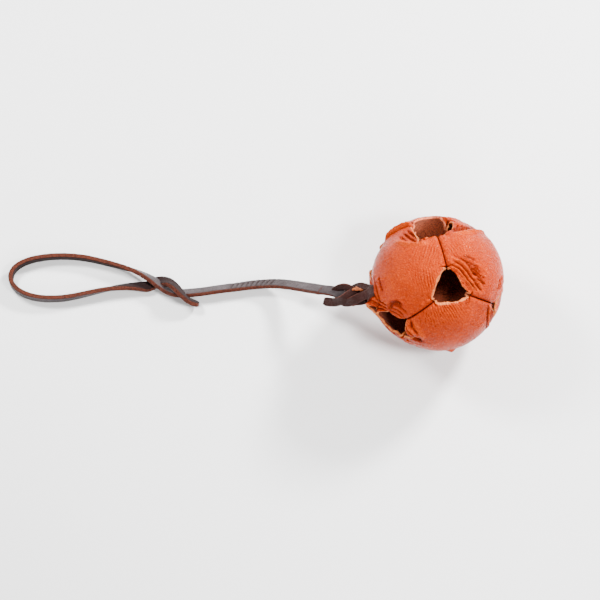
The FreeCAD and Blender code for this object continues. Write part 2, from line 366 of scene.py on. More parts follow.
# ---------------------------------------------------------------- materials
MIX_SHARE, MIX_FIRST, MIX_SECOND = 0, 6, 7                 # a Mix node's inputs for colours
MIX_COLOUR = 2                                             # and its output
LEATHER_IOR = 1.30
CLOUD_SCALE = 28.0             # of the dye's patches, for each metre
FOLD_DEPTH, PEBBLE_DEPTH, PORE_DEPTH = 0.12, 0.16, 0.08    # of the bumps, as shares of a grain cell
FIBRE_DEPTH, PLY_DEPTH = 0.0006, 0.0003                    # of the bumps, in metres


def new_material(name):
    material = bpy.data.materials.new(name)
    material.use_nodes = True
    nodes = material.node_tree.nodes
    return material, nodes, material.node_tree.links, nodes["Principled BSDF"]


def texture(nodes, kind, scale, **settings):
    node = nodes.new(kind)
    node.inputs["Scale"].default_value = scale
    for name, value in settings.items():
        node.inputs[name].default_value = value
    return node


def ramp(nodes, links, source, stops):
    """The source as colours; stops give (place, colour)."""
    node = nodes.new("ShaderNodeValToRGB")
    elements = node.color_ramp.elements
    while len(elements) < len(stops):
        elements.new(0.5)
    for element, (place, colour) in zip(elements, stops):
        element.position = place
        element.color = (*colour, 1.0)
    links.new(source, node.inputs["Fac"])
    return node.outputs["Color"]


def mix(nodes, links, kind, share, first, second):
    """Two colours mixed."""
    node = nodes.new("ShaderNodeMix")
    node.data_type = "RGBA"
    node.blend_type = kind
    node.inputs[MIX_SHARE].default_value = share
    links.new(first, node.inputs[MIX_FIRST])
    links.new(second, node.inputs[MIX_SECOND])
    return node.outputs[MIX_COLOUR]


def bump(nodes, links, height, strength, distance, normal=None):
    node = nodes.new("ShaderNodeBump")
    node.inputs["Strength"].default_value = strength
    node.inputs["Distance"].default_value = distance
    links.new(height, node.inputs["Height"])
    if normal:
        links.new(normal, node.inputs["Normal"])
    return node.outputs["Normal"]


def leather_grain(nodes, links, coordinates, cell):
    """Pebbled grain: rounded cells with creases between them, wrinkles and fine pores.

    Returns the cells' and the folds' shades for the colour, and the bumped normal."""
    warp = texture(nodes, "ShaderNodeTexNoise", 0.5 / cell, Detail=2.0)
    links.new(coordinates, warp.inputs["Vector"])
    shifted = mix(nodes, links, "LINEAR_LIGHT", 0.9 * cell, coordinates, warp.outputs["Color"])
    cells = texture(nodes, "ShaderNodeTexVoronoi", 1.0 / cell)
    cells.feature = "DISTANCE_TO_EDGE"
    links.new(shifted, cells.inputs["Vector"])
    pebbles = ramp(nodes, links, cells.outputs["Distance"], [(0.0, (0, 0, 0)), (0.3, (1, 1, 1))])
    folds = texture(nodes, "ShaderNodeTexNoise", 0.9 / cell, Detail=2.0, Roughness=0.5, Distortion=0.4)
    links.new(coordinates, folds.inputs["Vector"])
    pores = texture(nodes, "ShaderNodeTexNoise", 3.5 / cell, Detail=3.0)
    links.new(coordinates, pores.inputs["Vector"])
    normal = bump(nodes, links, folds.outputs["Fac"], 1.0, cell * FOLD_DEPTH)
    normal = bump(nodes, links, pebbles, 1.0, cell * PEBBLE_DEPTH, normal)
    normal = bump(nodes, links, pores.outputs["Fac"], 0.05, cell * PORE_DEPTH, normal)
    return pebbles, folds.outputs["Fac"], normal


def make_grain_leather(name, dark, middle, light, cell, rough, level, tint):
    """Finished leather: cloudy dye, painted shade in seams and creases with painted highlights on ridges,
    grain cells and a waxy shine.

    A low level keeps the leather from going white at a slant, and a tint above 1 makes up for it."""
    material, nodes, links, shader = new_material(name)
    coordinates = nodes.new("ShaderNodeTexCoord").outputs["Object"]
    clouds = texture(nodes, "ShaderNodeTexNoise", CLOUD_SCALE, Detail=4.0, Roughness=0.6)
    links.new(coordinates, clouds.inputs["Vector"])
    colour = ramp(nodes, links, clouds.outputs["Fac"], [(0.25, dark), (0.5, middle), (0.8, light)])
    # painted shade and highlight: the colour darkens in seams and hollows, and turns paler and whiter on
    # ridges
    attribute = nodes.new("ShaderNodeAttribute")
    attribute.attribute_name = "shade_and_highlight"
    wear_and_shade = nodes.new("ShaderNodeMapRange")
    wear_and_shade.inputs["From Min"].default_value = MARK_SEAM
    wear_and_shade.inputs["From Max"].default_value = MARK_RIDGE
    links.new(attribute.outputs["Fac"], wear_and_shade.inputs["Value"])
    painted_shades = [
        (0.0, (0.16, 0.10, 0.09)), (0.38, (0.60, 0.50, 0.46)), (0.62, (1, 1, 1)), (1.0, (1.3, 1.8, 2.0)),
    ]
    colour = mix(nodes, links, "MULTIPLY", 1.0, colour, ramp(nodes, links, wear_and_shade.outputs["Result"], painted_shades))
    pebbles, folds, normal = leather_grain(nodes, links, coordinates, cell)
    between = ramp(nodes, links, pebbles, [(0.0, (0.60, 0.52, 0.50)), (0.6, (1, 1, 1))])
    colour = mix(nodes, links, "MULTIPLY", 0.8, colour, between)
    mottle = [(0.34, (0.84, 0.80, 0.78)), (0.5, (1, 1, 1)), (0.68, (1.08, 1.12, 1.12))]
    colour = mix(nodes, links, "MULTIPLY", 0.9, colour, ramp(nodes, links, folds, mottle))
    links.new(colour, shader.inputs["Base Color"])
    dull, shiny = (rough + 0.06,) * 3, (rough - 0.05,) * 3
    shine = ramp(nodes, links, clouds.outputs["Fac"], [(0.3, dull), (0.7, shiny)])
    links.new(shine, shader.inputs["Roughness"])
    shader.inputs["IOR"].default_value = LEATHER_IOR
    shader.inputs["Specular IOR Level"].default_value = level
    shader.inputs["Specular Tint"].default_value = (*tint, 1.0)
    links.new(normal, shader.inputs["Normal"])
    return material


def make_fibre_leather(name, dark, light, size, rough):
    """Suede, flesh side or a raw cut edge: no shine, short fibres."""
    material, nodes, links, shader = new_material(name)
    coordinates = nodes.new("ShaderNodeTexCoord").outputs["Object"]
    fibres = texture(nodes, "ShaderNodeTexNoise", 1.0 / size, Detail=6.0, Roughness=0.7)
    links.new(coordinates, fibres.inputs["Vector"])
    colour = ramp(nodes, links, fibres.outputs["Fac"], [(0.35, dark), (0.65, light)])
    links.new(colour, shader.inputs["Base Color"])
    shader.inputs["Roughness"].default_value = rough
    shader.inputs["Specular IOR Level"].default_value = 0.1
    shader.inputs["Sheen Weight"].default_value = 0.03
    links.new(bump(nodes, links, fibres.outputs["Fac"], 0.6, FIBRE_DEPTH), shader.inputs["Normal"])
    return material


TAN_GRAIN = make_grain_leather(
    "tan_grain", (0.27, 0.018, 0.0003), (0.35, 0.025, 0.0005), (0.43, 0.037, 0.0008),
    cell=0.0024, rough=0.24, level=0.12, tint=(3.4, 1.4, 0.6))
# the inside suede comes in two copies: this one is painted darker, as painted shade inside the ball
SHADED_SUEDE = make_fibre_leather("suede_painted_dark", (0.05, 0.008, 0.003), (0.15, 0.026, 0.009), 0.0012, 0.95)
TAN_EDGE = make_fibre_leather("tan_cut_edge", (0.26, 0.036, 0.008), (0.66, 0.20, 0.055), 0.0016, 0.8)
# the same suede painted paler, as painted light falling through the top window onto the back panel's inside
LIT_SUEDE = make_fibre_leather("suede_painted_lit", (0.34, 0.065, 0.028), (0.85, 0.23, 0.11), 0.0016, 0.9)

# Each panel's own shape. Points are mm on the flattened panel. Its sides count round it from 0 to 7:
# the even ones are sewn, and the odd ones border a window. Places along a side are mm from its middle.
# raw: side -> width of its pale bevel; edge_wave and edge_lift: how far its windows' edges wander and
# curl; open: side -> the place where its seam stops; cuts: side -> (place, depth);
# creases: (points, height, width); ripples: (middle, radius, direction, spacing, height);
# pulls: (middle, height, width)
PANELS = {
    "upper_right_panel": {
        "seed": 1, "raw": {1: 0.5, 7: 0.8}, "edge_wave": 0.6, "edge_lift": 0.9,
        "cuts": {
            1: [(-21, 0), (-12, 1.5), (-4, 1), (7, -1.4), (15, -0.6), (21, 0)],
            7: [(-22, 3), (-12, 8), (0, 10), (7.5, 10.5), (15, 7), (22, 6)],
            3: [(-20, 0), (-4, 2), (6, 1), (20, 0)],
        },
        "creases": [
            ([(48.8, 20.1), (39.4, 25.1), (29.9, 35.6), (16.8, 45.8)], 0.9, 1.1),
            ([(46.4, 15.8), (36.2, 23.0), (25.3, 35.3), (11.3, 46.0)], 1.0, 1.0),
            ([(44.9, 11.3), (33.8, 18.6), (24.7, 28.9), (8.6, 41.4)], 0.9, 1.0),
            ([(47.5, 18.0), (38.0, 24.0), (27.5, 35.4), (14.0, 46.0)], -0.9, 0.8),
            ([(45.5, 13.5), (35.0, 20.8), (25.0, 32.0), (10.0, 43.7)], -0.9, 0.8),
            ([(43.0, 8.5), (32.0, 15.5), (23.0, 26.5), (6.0, 38.5)], -0.8, 0.9),
            ([(20.8, 32.7), (6.9, 36.9)], -0.9, 0.9),
            ([(21.2, 38.0), (9.3, 43.6)], -0.8, 0.9),
            ([(22.0, 28.5), (8.0, 31.0)], -0.7, 0.9),
            ([(31.5, 16.4), (17.7, 21.9)], -0.7, 1.2),
            ([(33.0, 10.0), (20.0, 15.0)], -0.6, 1.2),
            ([(22.6, 22.4), (19.8, 30.6)], -1.3, 4.5),
            ([(34.3, -17.7), (21.0, -18.9), (-6.9, -27.2), (-20.0, -31.0)], 1.6, 2.2),
            ([(36.0, -22.0), (22.0, -24.0), (-6.0, -33.0), (-20.0, -37.0)], -1.8, 3.2),
            ([(28.0, -26.0), (20.0, -33.0)], -0.9, 1.0),
            ([(20.0, -27.0), (13.0, -36.0)], -0.9, 1.0),
            ([(11.0, -29.0), (5.0, -38.0)], -0.8, 1.0),
            ([(-19.0, 24.1), (-18.3, 37.1)], -1.2, 1.1),
            ([(-23.0, 19.0), (-22.5, 35.0)], -1.0, 1.0),
            ([(-30.2, 15.5), (-27.0, 32.1)], -1.1, 1.1),
        ],
        "ripples": [
            ((24, 33), 13, 60, 2.6, 0.42), ((38, 4), 12, 20, 2.9, 0.34), ((16, -30), 13, 15, 3.0, 0.45),
        ],
        "pulls": [((5, -36), -2.0, 14)],
    },
    "upper_left_panel": {
        "seed": 2, "raw": {1: 2.0, 3: 1.8, 7: 0.8, 6: 1.0}, "edge_wave": 0.5, "edge_lift": 0.7,
        "open": {6: 6.5},
        "cuts": {
            1: [(-22, 0.5), (-18, 2.4), (0, 2.8), (14, 2.2), (21, 0)],
            3: [(-21, 7), (-17.5, 8.5), (-15.5, 16.5), (-12, 16), (-1, 12), (8, 8), (18.5, 2.5)],
            5: [(-18, 1), (0, 2.5), (18, 1)],
            6: [(7, 0), (14, 2), (22, 3)],
            7: [(-22, 0), (-7, 3), (-2.5, 5.5), (2, 3.5), (11, 0.5), (18, 0.8)],
        },
        "creases": [
            ([(-42.6, 23.3), (-27.6, 31.2), (-15.5, 37.4)], -1.9, 1.0),
            ([(-40.4, 18.6), (-25.5, 27.0), (-14.1, 34.0)], -1.8, 1.0),
            ([(-37.8, 14.1), (-24.0, 22.5), (-14.0, 30.0)], -1.5, 1.0),
            ([(-34.0, 10.0), (-20.0, 20.0)], -0.8, 1.2),
            ([(-29.2, 5.5), (-15.5, 22.4), (-11.0, 40.7)], 1.5, 2.4),
            ([(6.0, -55.0), (18.0, -47.0), (30.0, -37.0)], -2.0, 0.9),
            ([(4.0, -50.5), (16.0, -43.5), (29.0, -33.0)], -1.8, 0.9),
            ([(3.0, -45.5), (14.0, -39.5), (28.0, -29.5)], -1.5, 0.9),
            ([(31.0, -32.5), (38.0, -26.0), (47.0, -22.5)], -0.8, 0.9),
            ([(29.5, -27.8), (36.6, -20.9), (46.1, -17.9)], -0.9, 1.0),
            ([(29.9, -21.8), (36.4, -14.6), (45.7, -11.6)], -0.8, 1.1),
            ([(31.1, -32.0), (28.5, -22.0), (31.3, -14.5), (36.5, -10.9)], -1.9, 1.9),
            ([(47.6, 25.7), (36.8, 37.6), (26.6, 47.6)], -1.9, 1.1),
            ([(44.2, 24.2), (34.2, 34.8), (24.0, 45.0)], -1.0, 0.9),
            ([(42.5, 22.5), (33.0, 33.5), (22.5, 43.5)], 0.6, 1.6),
            ([(-9.2, -31.0), (6.1, -33.4), (18.4, -37.6)], -1.1, 1.2),
            ([(-3.9, -22.2), (14.1, -24.2)], -0.8, 1.5),
            ([(-14.0, -38.0), (2.0, -40.0)], -1.0, 1.1),
            ([(-18.0, -43.0), (-4.0, -45.0)], -0.8, 1.0),
        ],
        "ripples": [
            ((28, 30), 13, 76, 2.6, 0.40), ((2, 36), 14, 60, 2.8, 0.34), ((-34, 24), 10, 150, 2.8, 0.2),
        ],
        "pulls": [((-9, -46), -3.0, 6), ((10, -54), 14.5, 6.5), ((20, -51), 6.0, 8), ((-33, 27), -0.5, 12)],
    },
    "front_panel": {
        "seed": 3, "raw": {1: 2.2, 3: 0.9}, "edge_wave": 0.6, "edge_lift": 0.8,
        "cuts": {
            1: [(-22, 0), (-14, 0.8), (-6, 2.4), (6, 1.8), (15, 1.6), (21, 0)],
            3: [(-20, 0), (-8, 1), (-3, 5), (1, 12), (4, 12.5), (7, 4), (12, 1), (20, 0)],
            7: [(-20, 0), (0, 1), (20, 2)],
        },
        "creases": [
            ([(-17.5, 51.4), (-24.3, 44.5), (-22.5, 31.7)], 1.6, 1.5),
            ([(-20.5, 49.0), (-27.3, 41.5), (-26.0, 31.0)], -1.1, 1.0),
            ([(-14.5, 48.5), (-20.5, 41.0), (-18.5, 30.7)], -1.3, 1.1),
            ([(-11.0, 46.0), (-14.7, 36.2), (-18.1, 24.0)], 1.4, 2.2),
            ([(-31.0, 28.0), (-23.0, 21.0)], -2.6, 3.0),
            ([(48.8, -8.0), (36.8, -17.4), (24.0, -30.0), (16.5, -44.5)], -2.6, 1.0),
            ([(50.3, -15.7), (37.2, -25.0), (26.0, -36.0), (19.0, -47.6)], -2.6, 1.0),
            ([(49.5, -12.0), (37.0, -21.0), (25.0, -33.0), (17.5, -46.0)], 0.8, 1.4),
            ([(52.3, -18.7), (41.2, -26.0), (30.0, -38.0)], -1.0, 0.9),
            ([(30.0, 40.0), (38.0, 31.0), (47.0, 24.0)], -0.5, 1.6),
        ],
        "ripples": [
            ((27, 33), 14, -18, 2.5, 0.42), ((6, 40), 12, -30, 2.8, 0.36), ((34, -6), 13, 30, 3.0, 0.24),
        ],
        "pulls": [((-20.6, -22.6), 3.0, 3.6), ((-34, 36), 2.5, 9)],
    },
    "lower_left_panel": {
        "seed": 4, "raw": {7: 1.3, 0: 1.3}, "edge_wave": 1.0, "edge_lift": 1.4, "open": {0: -6.5},
        "cuts": {
            0: [(-22, 3), (-14, 2), (-7, 0)],
            1: [(0, 2)],
            5: [(0, 2)],
            7: [(-20, 1), (-10, 5), (0, 8), (10, 6), (20, 1)],
        },
        "creases": [
            ([(44.7, -1.6), (38.8, -12.2)], -1.0, 1.1),
            ([(41.0, 1.0), (34.8, -10.2)], -0.9, 1.1),
            ([(48.0, -18.0), (36.0, -28.0), (22.0, -42.0)], 1.2, 1.4),
            ([(45.0, -15.0), (33.0, -25.0), (19.0, -39.0)], -1.0, 1.1),
            ([(20.0, -30.0), (5.0, -40.0)], -1.0, 1.6),
        ],
        "ripples": [((20, 20), 20, 40, 3.0, 0.2), ((-15, -20), 18, 100, 3.2, 0.2)],
        "pulls": [((54, -10), 14.5, 6.5), ((51, -20), 7.0, 8), ((30, -44), -2.0, 7), ((37, 37), 4.5, 13)],
    },
    "lower_right_panel": {
        "seed": 5, "raw": {}, "edge_wave": 1.2, "edge_lift": 1.4,
        "cuts": {
            1: [(0, 2)],
            3: [(-10, 3), (8, 0)],
            7: [(-20, -1), (-10, -4.5), (0, -5.5), (10, -4.5), (20, -1)],
        },
        "creases": [
            ([(40.0, 6.0), (28.0, 20.0)], -0.9, 1.3),
            ([(-30.0, 20.0), (-18.0, 34.0)], -1.0, 1.4),
            ([(-20.0, -34.0), (4.0, -38.0)], -0.8, 1.4),
        ],
        "ripples": [((-24, 24), 16, 45, 2.8, 0.25), ((26, -20), 16, 120, 3.0, 0.2)],
        "pulls": [((30, -26), 1.5, 14), ((42, -42), -4.0, 10)],
    },
    "back_panel": {
        "seed": 6, "raw": {7: 0.3}, "edge_wave": 1.2, "edge_lift": 0.6,
        "cuts": {
            3: [(-8, 2), (8, 3)],
            5: [(0, 2)],
            7: [(-22, 5), (-18, 14), (-11, 19), (0, 19), (12, 18), (19, 14), (22, 6)],
        },
        "creases": [
            ([(-19.0, -49.0), (25.0, -48.5)], 3.0, 2.0),
            ([(-20.0, -46.2), (26.0, -45.5)], 1.6, 1.2),
            ([(-20.0, -43.5), (26.0, -41.5)], -1.2, 1.8),
            ([(30.0, 20.0), (16.0, 34.0)], -1.0, 1.4),
            ([(-34.0, 8.0), (-22.0, 26.0)], -0.9, 1.4),
        ],
        "ripples": [((20, 22), 18, 45, 2.9, 0.25), ((-26, -14), 16, 120, 3.0, 0.2)],
        "pulls": [((-37, -37), 4.0, 12)],
    },
}
for node, spec in PANELS.items():
    # the back panel's inside and cut edge take the suede painted paler, as painted light through the top
    # window; the others take it painted darker, as painted shade
    inside, rim = (LIT_SUEDE, LIT_SUEDE) if node == "back_panel" else (SHADED_SUEDE, TAN_EDGE)
    make_panel(node, spec, [TAN_GRAIN, inside, rim])


# ---------------------------------------------------------------- the strap's slits
BIGHT_RADIUS = 9.5             # of the strap's turn round the seam, at the middle of its thickness
BIGHT_WIDTH = 11.6
BIGHT_THICK = 4.2
BIGHT_SECTIONS = 96
SLIT_PLAY = 0.55               # from the strap to a slit's sides
CUTTER_SECTIONS = 64
SLIT_PANELS = ("upper_left_panel", "lower_left_panel")


def bight_ways():
    """The outward and sideways directions round the seam that the strap turns about."""
    outward = HINGE / MM - BALL_CENTRE
    outward = (outward - SEAM_AXIS * outward.dot(SEAM_AXIS)).normalized()
    return np.array(outward), np.array(SEAM_AXIS.cross(outward))


def make_slit_cutter():
    """A ring, a little larger than the strap's turn, that cuts both slits."""
    outward, aside = bight_ways()
    axis = np.array(SEAM_AXIS)
    half = BIGHT_WIDTH / 2 + SLIT_PLAY
    inner, outer = (BIGHT_RADIUS + sign * (BIGHT_THICK / 2 + SLIT_PLAY) for sign in (-1, 1))
    corners = [(inner, -half), (outer, -half), (outer, half), (inner, half)]
    points, faces = [], []
    for k in range(CUTTER_SECTIONS):
        angle = 2 * math.pi * k / CUTTER_SECTIONS
        way = math.cos(angle) * outward + math.sin(angle) * aside
        points += [np.array(HINGE / MM) + radius * way + place * axis for radius, place in corners]
        for j in range(4):
            near, far = k * 4, (k + 1) % CUTTER_SECTIONS * 4
            faces.append((near + j, far + j, far + (j + 1) % 4, near + (j + 1) % 4))
    return make_mesh("slit_cutter", np.array(points) * MM, faces, [TAN_EDGE])


def cut_slits():
    """Cuts the two holes that the strap goes through."""
    cutter = make_slit_cutter()
    for node in SLIT_PANELS:
        panel = bpy.data.objects[node + "_leather"]
        cut = panel.modifiers.new("slit", "BOOLEAN")
        cut.operation = "DIFFERENCE"
        cut.solver = "MANIFOLD"
        cut.object = cutter
        apply_modifiers(panel)
    bpy.data.objects.remove(cutter)


# ---------------------------------------------------------------- the strap
STRAP_WIDTH = 12.0
STRAP_THICK = 4.7
TIP_LENGTH = 5.0               # the strap's tip is rounded over this length
SECTION_STEP = 0.8             # between two sections of a ribbon
FACE_CELLS, EDGE_CELLS = 16, 6
CORNER_ROUND = 1.1             # of a ribbon's section, where its thickness allows it
CORNER_SHARE = 0.28            # of the thickness, at most
ROUGH_LENGTH, ROUGH_HEIGHT = 2.2, 0.2          # of a ribbon's uneven surface
# painted shade: a groove's depth darkens the colour
GROOVE_SHADE = 4.0              # the colour's mark for each mm of a groove's depth
CUT, FLESH = 1, 2              # a ribbon's other materials, after its grain side

# the route from the hitch to the tail's tip in metres, with the lean of the grain side in degrees:
# 0 looks up, 90 looks to the right of the way along
STRAP_ROUTE = [
    (-0.1164, 0.0005, 0.0420, 22), (-0.1386, 0.0104, 0.0240, 26), (-0.1615, 0.0180, 0.0110, 34),
    (-0.1852, 0.0182, 0.0065, 38), (-0.2034, 0.0154, 0.0065, 42), (-0.2216, 0.0130, 0.0068, 44),
    (-0.2398, 0.0100, 0.0068, 44), (-0.2580, 0.0083, 0.0070, 44), (-0.2702, 0.0085, 0.0076, 44),
    (-0.2828, 0.0159, 0.0090, 46), (-0.2935, 0.0237, 0.0105, 56), (-0.3076, 0.0316, 0.0085, 70),
    (-0.3240, 0.0376, 0.0068, 80), (-0.3410, 0.0424, 0.0063, 84), (-0.3612, 0.0472, 0.0063, 86),
    (-0.3815, 0.0492, 0.0063, 86), (-0.4030, 0.0482, 0.0063, 86), (-0.4230, 0.0436, 0.0063, 88),
    (-0.4365, 0.0345, 0.0063, 90), (-0.4386, 0.0210, 0.0063, 90), (-0.4290, 0.0096, 0.0063, 90),
    (-0.4100, 0.0026, 0.0063, 90), (-0.3840, 0.0024, 0.0063, 92), (-0.3612, 0.0074, 0.0063, 96),
    (-0.3410, 0.0126, 0.0064, 104), (-0.3200, 0.0159, 0.0060, 122), (-0.3035, 0.0166, 0.0050, 142),
    (-0.2965, 0.0159, 0.0040, 158), (-0.2904, 0.0201, 0.0030, 165), (-0.2833, 0.0219, 0.0050, 160),
    (-0.2752, 0.0198, 0.0100, 145), (-0.2692, 0.0148, 0.0140, 132), (-0.2641, 0.0088, 0.0160, 124),
    (-0.2590, 0.0034, 0.0145, 120), (-0.2530, -0.0010, 0.0100, 120), (-0.2459, -0.0030, 0.0068, 122),
    (-0.2429, -0.0032, 0.0062, 124),
]

# slanted grooves across the grain side: their places along the strap, and their shape
WRINKLES = [62.0 + 5.3 * k for k in range(9)]
WRINKLE_SLANT = 2.7            # from the strap's middle line to its edge
WRINKLE_DEPTH, WRINKLE_WIDTH = 0.62, 0.9

# the braid beside the ball: each strand's width, and its route in mm along, across and above the
# braid, with its lean
BRAID_START = Vector((-116.4, 0.5, 42.0))
BRAID_ALONG = Vector((0.847, -0.274, 0.456)).normalized()
BRAID_ACROSS = Vector((-0.296, -0.955, -0.024)).normalized()
BRAID_ABOVE = BRAID_ACROSS.cross(BRAID_ALONG)
STRANDS = {
    "main": (11.5, [
        (-3, 0, 0, -22), (9.5, -0.5, 0.5, -20), (20, 0.5, 1, -8), (27, 3.5, -1, 20), (34.5, 6, -2.5, 20),
        (42, 5.5, -3, 0),
    ]),
    "tail": (9.0, [
        (5, 10.5, -3.5, 10), (13, 11, -3, 20), (23, 10.5, 0, 40), (31.5, 7.5, 4.5, 50), (36, 3, 5, 45),
        (38.5, -2.5, 2, 20), (41, -6.5, -1.5, 0),
    ]),
    "leaf": (6.5, [
        (14, -0.5, 0, 30), (19.5, -3.5, 3.5, 40), (27, -5.5, 5, 40), (33.5, -5, 4.5, 20),
        (38, -3.5, 1.5, 0), (40.5, -4, -2, 0),
    ]),
    "upper": (7.0, [
        (65.5, -6, 8, 0), (58.5, -7, 5.4, 5), (52, -8, 4.6, 5), (45.5, -9, 4, 10), (37.5, -7, 1.5, 0),
        (31.5, -3.5, -1.5, 0), (27, 0, -3, 0),
    ]),
    "lower": (9.0, [
        (65.5, -3, 9, 0), (58.5, -1, 5.8, 12), (50.5, 2.5, 4.8, 30), (43, 7.5, 4, 45), (35, 10, 1, 35),
        (26.5, 8.5, -2.5, 10), (20, 4.5, -4, 0),
    ]),
    "under": (11.0, [(54.5, 2.5, 0.5, 10), (51, 3, -0.5, 25), (46, 4.5, -1.5, 20), (37.5, 5, -3, 0)]),
    "lining": (9.0, [
        (53, -4.5, 1, 0), (49.5, -5, 0, 0), (46, -5.5, -1, 0), (36, -5, -4, 0), (26, -2.5, -6, 0),
        (20, -1, -6, 0),
    ]),
    "raw_slit": (2.6, [
        (37.5, -3.4, 3.2, 30), (40, -4.6, 4.4, -20), (42.5, -3.6, 3.6, 30), (45, -5.2, 3.4, 0),
    ]),
    "raw_fold": (2.4, [
        (41, -6.4, 3.6, 0), (44, -5.4, 4.8, 40), (46.5, -4.0, 3.8, -30), (49.5, -5.2, 3.2, 0),
    ]),
}
BRAID_THICK = 3.6


def smooth_line(control):
    """The line of a quadratic NURBS curve with these control points."""
    curve = bpy.data.curves.new("route", "CURVE")
    curve.dimensions = "3D"
    spline = curve.splines.new("NURBS")
    spline.points.add(len(control) - 1)
    for point, place in zip(spline.points, control):
        point.co = (*place[:3], 1.0)
    spline.order_u = 3
    spline.use_endpoint_u = True
    spline.resolution_u = 32
    holder = bpy.data.objects.new("route", curve)
    line = bpy.data.meshes.new_from_object(holder).vertices
    line = np.array([vertex.co for vertex in line])
    bpy.data.objects.remove(holder)
    return line


def spread(control, samples):
    """The control points' fourth values at each sample along the spline."""
    count = len(control)
    reach = np.linspace(0, count - 2, samples)
    centres = np.concatenate([[0], np.arange(count - 2) + 0.5, [count - 2]])
    return np.interp(reach, centres, [place[3] for place in control])


def evenly(line, values):
    """The line in even steps in mm, with its values, and how far along each point is."""
    gone = np.concatenate([[0], np.cumsum(np.linalg.norm(np.diff(line, axis=0), axis=1))])
    places = np.linspace(0, gone[-1], int(gone[-1] / SECTION_STEP) + 1)
    even = np.stack([np.interp(places, gone, line[:, k]) for k in range(3)], 1)
    return even, np.interp(places, gone, values), places


def unit(rows):
    """Each row as a unit vector."""
    return rows / np.maximum(np.linalg.norm(rows, axis=-1, keepdims=True), 1e-12)


def section_shares():
    """Points round a strap's section in -1..1, and the material of the cell after each."""
    corners = [(-1, 1), (1, 1), (1, -1), (-1, -1), (-1, 1)]
    cells = [(FACE_CELLS, GRAIN), (EDGE_CELLS, CUT), (FACE_CELLS, FLESH), (EDGE_CELLS, CUT)]
    shares, kinds = [], []
    for start, end, (count, kind) in zip(corners, corners[1:], cells):
        for k in range(count):
            shares.append(np.array(start) + (np.array(end) - np.array(start)) * k / count)
            kinds.append(kind)
    return np.array(shares), kinds


def round_section(shares, width, thick):
    """The section in mm, with rounded corners, and the way out at each of its points."""
    half = np.array([width, thick]) / 2
    corner = min(CORNER_ROUND, CORNER_SHARE * thick)
    places = shares * half
    core = np.clip(places, corner - half, half - corner)
    out = unit(places - core)
    return core + out * corner, out


def make_ribbon(name, line, places, normals, widths, thicks, materials, seed, relief=None):
    """A leather strap along a line in mm; normals point out of its grain side.

    Its surface is uneven: the noise's second place sets the section's points apart."""
    tangent = unit(np.gradient(line, axis=0))
    normals = unit(normals - tangent * (normals * tangent).sum(1)[:, None])
    across = np.cross(tangent, normals)
    shares, kinds = section_shares()
    around = len(shares)
    points, marks = [], []
    for k in range(len(line)):
        section, out = round_section(shares, widths[k], thicks[k])
        drop = relief(places[k], shares) if relief else np.zeros(around)
        spots = [Vector((places[k] / ROUGH_LENGTH, (x + 3 * y) * 2.1, seed)) for x, y in shares]
        rough = np.array([noise.noise(spot) for spot in spots])
        section = section + out * (ROUGH_HEIGHT * rough + drop)[:, None]
        points.append(line[k] + section[:, :1] * across[k] + section[:, 1:] * normals[k])
        # painted shade in the grooves, carried to the colour
        marks.append(GROOVE_SHADE * drop)
    faces, face_kinds = [], []
    for k in range(len(line) - 1):
        for j in range(around):
            a, b = k * around + j, k * around + (j + 1) % around
            faces.append((a, a + around, b + around, b))
            face_kinds.append(kinds[j])
    last = (len(line) - 1) * around
    faces += [tuple(range(around)), tuple(last + j for j in reversed(range(around)))]
    face_kinds += [CUT, CUT]
    ribbon = make_mesh(name, np.vstack(points) * MM, faces, materials)
    ribbon.data.polygons.foreach_set("material_index", face_kinds)
    add_value(ribbon.data, "shade_and_highlight", np.concatenate(marks))
    return ribbon


def strap_wrinkles(place, shares):
    """Slanted grooves pressed across the grain side where the strap bends."""
    drop = np.zeros(len(shares))
    grain_side = shares[:, 1] > 0.99
    for start in WRINKLES:
        gap = place - start + WRINKLE_SLANT * shares[:, 0]
        drop -= WRINKLE_DEPTH * np.exp(-(gap / WRINKLE_WIDTH)**2) * grain_side
    return drop


def make_strap(materials):
    """The strap from the braid to its tip: the run, the hand loop and the tail."""
    line = smooth_line(STRAP_ROUTE)
    even, lean, places = evenly(line / MM, spread(STRAP_ROUTE, len(line)))
    tangent = unit(np.gradient(even, axis=0))
    right = unit(np.cross(tangent, [0, 0, 1]))
    up = np.cross(right, tangent)
    lean = np.radians(lean)[:, None]
    to_tip = places[-1] - places
    past_side = np.clip(TIP_LENGTH - to_tip, 0, TIP_LENGTH - 0.2) / TIP_LENGTH
    widths = STRAP_WIDTH * np.sqrt(1 - past_side**2)
    thicks = np.full(len(even), STRAP_THICK)
    strap = make_ribbon("strap_leather", even, places, np.cos(lean) * up + np.sin(lean) * right,
                        widths, thicks, materials, 3.1, strap_wrinkles)
    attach(strap, "strap")
    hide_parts("strap_run", "hand_loop", "strap_tail")


def make_strand(name, width, control, materials, seed):
    """One strand of the braid, in the braid's own directions."""
    along, across, above = (np.array(way) for way in (BRAID_ALONG, BRAID_ACROSS, BRAID_ABOVE))
    line = smooth_line(control)
    even, lean, places = evenly(line, spread(control, len(line)))
    world = np.array(BRAID_START) + even[:, :1] * along + even[:, 1:2] * across + even[:, 2:] * above
    tangent = unit(np.gradient(world, axis=0))
    side = unit(np.cross(tangent, above))
    side = side * np.sign((side @ across) + 1e-9)[:, None]
    lean = np.radians(lean)[:, None]
    normals = np.cos(lean) * above + np.sin(lean) * side
    ends = np.minimum(places, places[-1] - places)
    widths = width * (0.8 + 0.2 * smooth(ends / 3.0))
    thicks = np.full(len(world), BRAID_THICK)
    return make_ribbon(name, world, places, normals, widths, thicks, materials, seed)


